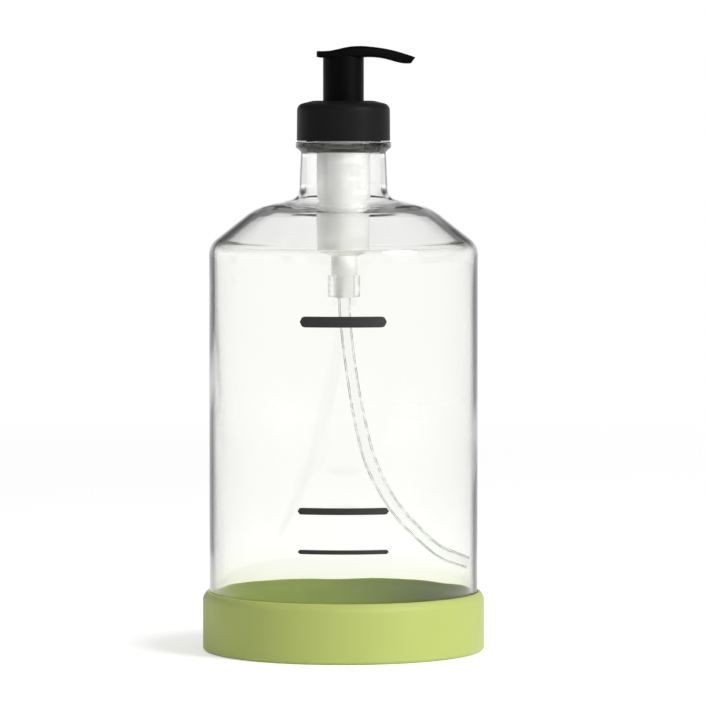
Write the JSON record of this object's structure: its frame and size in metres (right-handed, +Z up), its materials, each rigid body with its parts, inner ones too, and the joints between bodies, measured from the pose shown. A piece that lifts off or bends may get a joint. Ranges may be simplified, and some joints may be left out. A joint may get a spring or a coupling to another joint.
{
  "type": "dish soap bottle",
  "caption": "Round clear glass soap bottle in a soft green boot, with a black screw cap and a foaming pump whose curved spout turns and presses down.",
  "frame": {"origin": "middle of the boot's flat underside, on the bottle's axis", "axes": "+Z up along the bottle's axis; +X the way the spout points and the dip tube bends; +Y to the left of the spout, seen from above"},
  "size_m": [0.0842, 0.0842, 0.1807],
  "materials": {
    "boot_silicone": "matte",
    "clear_glass": "polished",
    "black_cap": "smooth",
    "black_head": "satin",
    "white_plastic": "natural",
    "clear_plastic": "clear",
    "tube_plastic": "clear",
    "gasket_foam": "matte",
    "valve_rubber": "matte",
    "ball_glass": "polished",
    "spring_steel": "drawn wire",
    "mesh_nylon": "fine mesh"
  },
  "bodies": {
    "bottle": {"glass_bottle": "clear_glass", "silicone_boot": "boot_silicone"},
    "pump": {"pump_housing": "white_plastic", "neck_gasket": "gasket_foam", "stem_guide": "white_plastic", "tube_ring": "clear_plastic", "dip_tube": "tube_plastic", "inlet_ball": "ball_glass", "ball_retainer": "white_plastic", "return_spring": "spring_steel"},
    "closure": {"screw_cap": "black_cap"},
    "plunger": {"piston_stem": "white_plastic", "air_piston": "white_plastic", "air_valve": "valve_rubber", "liquid_piston": "white_plastic", "outlet_ball": "ball_glass"},
    "head": {"pump_head": "black_head", "mesh_cartridge": "white_plastic", "coarse_screen": "mesh_nylon", "fine_screen": "mesh_nylon"}
  },
  "joints": [
    {"name": "pump_lift", "type": "slide", "parent": "bottle", "child": "pump", "axis": [0, 0, 1], "range_m": [0, 0.145], "deforming": ["dip_tube"]},
    {"name": "closure_turn", "type": "hinge", "parent": "pump", "child": "closure", "pos_m": [0, 0, 0.1585], "axis": [0, 0, 1], "range_deg": [0, 360]},
    {"name": "head_press", "type": "slide", "parent": "pump", "child": "plunger", "axis": [0, 0, -1], "range_m": [0, 0.01], "stiffness_N_per_m": 800, "springref_m": -0.008, "deforming": ["return_spring"]},
    {"name": "head_swivel", "type": "hinge", "parent": "plunger", "child": "head", "pos_m": [0, 0, 0.16], "axis": [0, 0, 1], "continuous": true}
  ]
}
